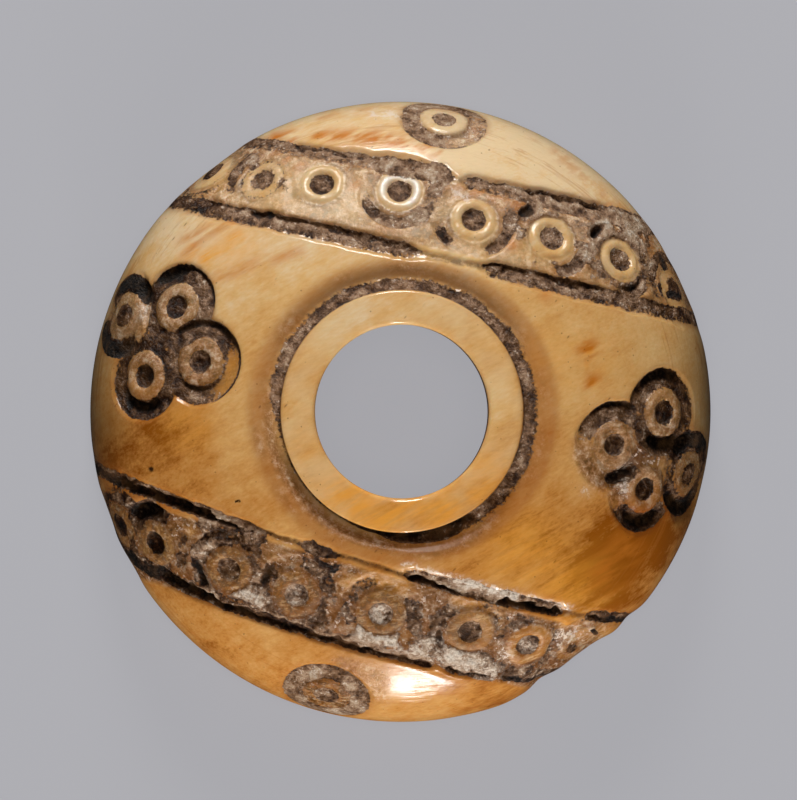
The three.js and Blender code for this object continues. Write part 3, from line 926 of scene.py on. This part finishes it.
# %% The bone's own colour, with a soil stain round the cuts and painted shade on the moat's slope
paleness = across_whorl * (1 / PALER_OVER) + 0.5 + 0.55 * (clouds - 0.5) + 0.38 * (fibres - 0.5)
paleness = paleness + 0.35 * (mottle - 0.5) + 0.4 * (speckle - 0.5) - 0.4 * bone.attribute("deep")
body = bone.ramp(paleness, (0.0, tone("955008")), (0.2, tone("cd8b42")), (0.46, tone("e3ad68")),
                 (0.64, tone("edc080")), (0.9, tone("f4d8ac")))
streaks = fibres.step(0.4, 0.6)
body = bone.mix(bone.attribute("honey") * (0.45 + 0.5 * streaks), body, tone("f8aa3c"))
cream_clouds = bone.noise(1.4, detail=3, turn=GRAIN, stretch=(2, 1, 1)).step(0.42, 0.66)
body = bone.mix(on_collar * cream_clouds * 0.32, body, tone("f4dcae"))
body = bone.mix(lathe_lines.step(0.55, 0.75) * near_rim * 0.4, body, tone("b9702a"))
# Brown over the soil stain round the cuts and the painted shade on the moat's slope.
body = bone.mix(bone.attribute("halo").step(0.05, 0.7) * 0.5, body, tone("9a5522"))
print("nodes so far:", len(bone.tree.nodes))

# %% Amber, worn and stained bone over it
worn_bone, amber_bone = bone.attribute("worn"), bone.attribute("amber")
grimy_bone, glint_spots_in_bone = bone.attribute("grimy"), bone.attribute("glassy")
mottled = bone.noise(0.4, detail=5, roughness=0.85).step(0.4, 0.6)
body = bone.mix(amber_bone * (0.45 + 0.6 * mottled), body, tone("663e0e"))
patchy = bone.noise(0.4, detail=5, roughness=0.75)
raw = bone.ramp(patchy, (0.38, tone("3c2010")), (0.45, tone("80502e")), (0.53, tone("b98a64")),
                (0.62, tone("f0d8bc")))
body = bone.mix(worn_bone * 0.9, body, raw)
rusty = bone.noise(0.4, detail=4, turn=GRAIN, stretch=(7, 1, 2)).step(0.35, 0.6)
body = bone.mix(bone.attribute("stain") * rusty * 0.8, body, tone("cf7a25"))
body = bone.mix(grimy_bone * 0.45, body, tone("5c3618"))
print("nodes so far:", len(bone.tree.nodes))

# %% Rubbed spots, painted glints and highlight, painted shade at the rim, and dark edges, canals and pores
rub_streaks = bone.noise(0.14, detail=4, roughness=0.65, turn=25, stretch=(4, 1, 1)).step(0.5, 0.64)
rub_streaks = rub_streaks * (0.4 * amber_bone + 0.7 * bone.attribute("rubbed"))
body = bone.mix(rub_streaks, body, tone("e6c090"))
# Painted glints: pale specks on worn ground, ambered bosses and the highlight spots.
painted_glints = (bone.noise(0.22, detail=4, roughness=0.7) + 0.12 * glint_spots_in_bone).step(0.57, 0.66)
painted_glints = painted_glints * (0.8 * grimy_bone + 0.3 * amber_bone + 0.8 * glint_spots_in_bone)
body = bone.mix(painted_glints, body, tone("f6e0cc"))
body = bone.mix(bone.attribute("outline") * patchy.step(0.3, 0.55) * 0.75, body, tone("54301a"))
# Painted highlight: near-white over the crown ring and the highlight spots.
body = bone.mix(bone.attribute("polish") * 0.85, body, tone("fffaf0"))
# Painted shade towards the rims.
body = bone.mix(bone.attribute("rim_shade") * 0.55, body, tone("4a3014"))
canals = bone.specks(0.27, 0.14, turn=62, stretch=(2.8, 1, 1)) + bone.specks(0.22, 0.2)
body = bone.mix(canals * 0.55, body, tone("6a3a14"))
body = bone.mix(bone.attribute("pore").step(0.3, 0.8), body, tone("2c1a0c"))
body = bone.mix(0.12 * scratch, body, tone("7a4a20"))
print("nodes so far:", len(bone.tree.nodes))

# %% The bone's gloss and fine relief
roughness = 0.14 + 0.1 * (clouds - 0.5) + 0.04 * worn_bone + 0.08 * scratch
roughness = roughness + 0.05 * across_whorl.step(-9.0, -10.0) + 0.16 * amber_bone - 0.06 * on_collar
pitted = (worn_bone + 0.6 * amber_bone) * bone.noise(0.2, detail=5, roughness=0.75)
lathe_cut = lathe_lines * near_rim * bone.noise(2.0, detail=2).step(0.4, 0.6)
fine_relief = 0.5 * scratch + bone.noise(0.3, detail=3) + 14.0 * pitted + 3.0 * lathe_cut
bone_shader = bone.node("ShaderNodeBsdfPrincipled", {}, {
    "Base Color": body, "Roughness": roughness, "Normal": bone.bumps(fine_relief, 0.006),
    "IOR": 1.54, "Subsurface Weight": 0.25, "Subsurface Radius": (1.0, 0.55, 0.25),
    "Subsurface Scale": 0.7 / METRE})
print("bone nodes:", len(bone.tree.nodes))

# %% [markdown]
# ## Soil
#
# The soil in the cuts has set hard: grey-brown grains. Painted light makes the grains that stand up
# lighter, painted shade darkens the hollows, and the open parts of the cuts are painted nearly black
# as shadow. Pale glints are painted on too. A second material would meet the bone along the mesh's
# own edges.
# Instead the two share one material, and one mask gives them a ragged border finer than the mesh.

# %% The soil's tone, with painted light on ridges and painted shade in hollows and open parts
grains = bone.noise(0.12, detail=3, roughness=0.65)
clods = bone.noise(0.5, detail=5, roughness=0.62)
thin_film = bone.attribute("soil").step(1.6, 0.2)
shade = bone.attribute("soil_tone") + 0.6 * (grains - 0.5) + 1.5 * (clods - 0.5) - 0.22 * thin_film
# Painted light and shade: lighter where the soil stands up, darker in its hollows.
shade = shade + bone.attribute("relief") * 1.1
shadow_breakup = bone.noise(0.3, detail=4, roughness=0.65) - 0.5
# Painted shadow: the open parts of the cuts, broken up by noise, go nearly black below.
painted_shadow_part = (bone.attribute("open") + 1.1 * shadow_breakup).step(0.2, 0.95)
outside_painted_shadow = 1 - painted_shadow_part
print("nodes so far:", len(bone.tree.nodes))

# %% The soil's colour, with painted shadow and painted glints
pale_part = bone.attribute("pale_soil")
soil_colour_and_painted_light = bone.ramp(shade - 0.47 * painted_shadow_part, (0.0, tone("0d0502")), (0.2, tone("341a0a")),
                 (0.4, tone("694a31")), (0.58, tone("a38064")), (0.78, tone("c7aa8d")),
                 (1.0, tone("f4e8d8")))
soil_colour_and_painted_light = bone.mix(bone.noise(0.8, detail=3).step(0.45, 0.7) * 0.35, soil_colour_and_painted_light, tone("7a5430"))
soil_colour_and_painted_light = bone.mix(pale_part * clods.step(0.38, 0.56) * 0.45 * outside_painted_shadow, soil_colour_and_painted_light, tone("c8b4a4"))
crumbs = bone.noise(0.18, detail=4, roughness=0.7).step(0.48, 0.62)
soil_colour_and_painted_light = bone.mix(painted_shadow_part * crumbs * 0.4, soil_colour_and_painted_light, tone("54402f"))
# Painted glints: sparse near-white specks on the soil outside the painted shadow.
painted_sparkle_share = 0.08 * pale_part + 0.05 * grimy_bone + 0.1 * glint_spots_in_bone
painted_sparkle = (bone.noise(0.16, detail=3, roughness=0.6) + painted_sparkle_share).step(0.58, 0.7)
soil_colour_and_painted_light = bone.mix(painted_sparkle * outside_painted_shadow * shade.step(0.3, 0.65) * 0.6, soil_colour_and_painted_light, tone("fff0de"))
print("nodes so far:", len(bone.tree.nodes))

# %% Bone and soil in one finish
soil_shader = bone.node("ShaderNodeBsdfPrincipled", {}, {
    "Base Color": soil_colour_and_painted_light, "Roughness": 0.34 - 0.5 * (clods - 0.5) + 0.4 * painted_shadow_part,
    "Normal": bone.bumps(grains + 1.3 * clods, 0.12), "Specular IOR Level": 0.5})
border = bone.attribute("soil") + 2.0 * (bone.noise(0.16, detail=4, roughness=0.6) - 0.5)
surface = bone.node("ShaderNodeMixShader", {}, {
    0: border.step(0.1, 0.6), 1: bone_shader, 2: soil_shader})
bone.node("ShaderNodeOutputMaterial", {}, {"Surface": surface})
whorl.data.materials.append(bone.material)
print("all nodes:", len(bone.tree.nodes))

# %% [markdown]
# ## Floor, lights and camera
#
# The floor is a plain pale sheet. It could be lit by the lamps, but then its tone would change with
# each of them. It gives off most of its own light instead, so that it stays even and nearly free of
# shadows, as on a lit table.

# %% Floor
PICTURE_TURN = math.radians(12.7)  # how far the bands fall to the right in the camera's picture
picture_right = Vector((math.cos(PICTURE_TURN), math.sin(PICTURE_TURN), 0))
picture_up = Vector((-math.sin(PICTURE_TURN), math.cos(PICTURE_TURN), 0))

FLOOR_REACH = 3.0
floor_mesh = bpy.data.meshes.new("floor")
corners = [(-FLOOR_REACH, -FLOOR_REACH), (FLOOR_REACH, -FLOOR_REACH),
           (FLOOR_REACH, FLOOR_REACH), (-FLOOR_REACH, FLOOR_REACH)]
floor_mesh.from_pydata([(x, y, low[2]) for x, y in corners], [], [(0, 1, 2, 3)])
floor = bpy.data.objects.new("floor", floor_mesh)
bpy.context.scene.collection.objects.link(floor)
paper = Finish("floor_paper")
paper_shader = paper.node("ShaderNodeBsdfPrincipled", {}, {
    "Base Color": (0.1, 0.1, 0.105, 1), "Roughness": 0.9, "Specular IOR Level": 0.0,
    "Emission Color": (0.345, 0.345, 0.37, 1), "Emission Strength": 1.0})
paper.node("ShaderNodeOutputMaterial", {}, {"Surface": paper_shader})
floor_mesh.materials.append(paper.material)
floor.visible_diffuse = False  # the glowing floor doesn't light the whorl from below
floor.visible_glossy = False
print("floor at height, mm:", round(METRE * low[2], 3))

# %% [markdown]
# Two soft boxes stand low on opposite sides of the whorl, beyond the bands. Their light grazes the
# dome, draws the carving and gives the small bright glints. A wider box behind the nearer one and a
# larger one overhead fill the shadows. Those two show no highlight of their own.


# %% Lights
def soft_box(name, toward, distance, heights, width, power, colour):
    """An area light facing the whorl, from one height to another, in metres and watts.

    `toward` is its direction in plan, in degrees from +X.
    """
    data = bpy.data.lights.new(name, "AREA")
    data.shape = "RECTANGLE"
    data.size, data.size_y = width, heights[1] - heights[0]
    data.energy = power
    data.color = colour
    box = bpy.data.objects.new(name, data)
    angle = math.radians(toward)
    box.location = (distance * math.cos(angle), distance * math.sin(angle), sum(heights) / 2)
    box.rotation_mode = "QUATERNION"
    box.rotation_quaternion = Vector((math.cos(angle), math.sin(angle), 0)).to_track_quat("Z", "Y")
    box.visible_camera = False
    bpy.context.scene.collection.objects.link(box)
    return box


soft_box("far_box", 106, 0.25, (0.055, 0.19), 0.08, 0.7, (1.0, 0.985, 0.96))
soft_box("near_box", 286, 0.25, (0.003, 0.05), 0.032, 0.22, (1.0, 0.98, 0.95))
near_fill = soft_box("near_fill", 280, 0.26, (0.003, 0.16), 0.12, 0.5, (1.0, 0.98, 0.95))
near_fill.visible_glossy = False  # only the narrow near box shows as a highlight
overhead = soft_box("overhead", 0, 0.0, (0.5, 0.7), 0.2, 0.92, (1.0, 1.0, 1.0))
overhead.rotation_quaternion = (1, 0, 0, 0)
overhead.visible_glossy = False  # it lights the bone, but leaves no glare on the flat collar

world = bpy.data.worlds.new("studio")
world.use_nodes = True
world.node_tree.nodes["Background"].inputs["Color"].default_value = (0.56, 0.53, 0.5, 1)
world.node_tree.nodes["Background"].inputs["Strength"].default_value = 0.05
bpy.context.scene.world = world
bpy.context.scene.view_settings.view_transform = "Standard"

# %% [markdown]
# The camera looks almost straight down on the dome, with the bands falling a little to the right. It
# stands far off with a long lens, which keeps the rim's foreshortening slight.

# %% Camera
VIEW_DISTANCE = 0.6
PICTURE_WIDTH = 0.03353  # how much of the girdle's plane the picture takes in, side to side
SENSOR = 36.0
LEAN = 0.009  # how far the view leans from straight down, for each unit of distance
LEAN_TURN = math.radians(15)  # the lean's direction, from the picture's right

# The axis lies a little to the right of the picture's middle, and a little below it.
aim = Vector((0, 0, GIRDLE / METRE)) - 0.000084 * picture_right + 0.000492 * picture_up
lean_toward = math.cos(LEAN_TURN) * picture_right + math.sin(LEAN_TURN) * picture_up
back = (Vector((0, 0, 1)) - LEAN * lean_toward).normalized()
right = picture_up.cross(back).normalized()
camera_data = bpy.data.cameras.new("camera")
camera_data.sensor_width = SENSOR
camera_data.lens = SENSOR * VIEW_DISTANCE / PICTURE_WIDTH
camera_data.clip_start = 0.01
camera = bpy.data.objects.new("camera", camera_data)
frame_of_view = Matrix((right, back.cross(right), back)).transposed().to_4x4()
frame_of_view.translation = aim + VIEW_DISTANCE * back
camera.matrix_world = frame_of_view
bpy.context.scene.collection.objects.link(camera)
bpy.context.scene.camera = camera
print("lens, mm:", round(camera_data.lens, 1))
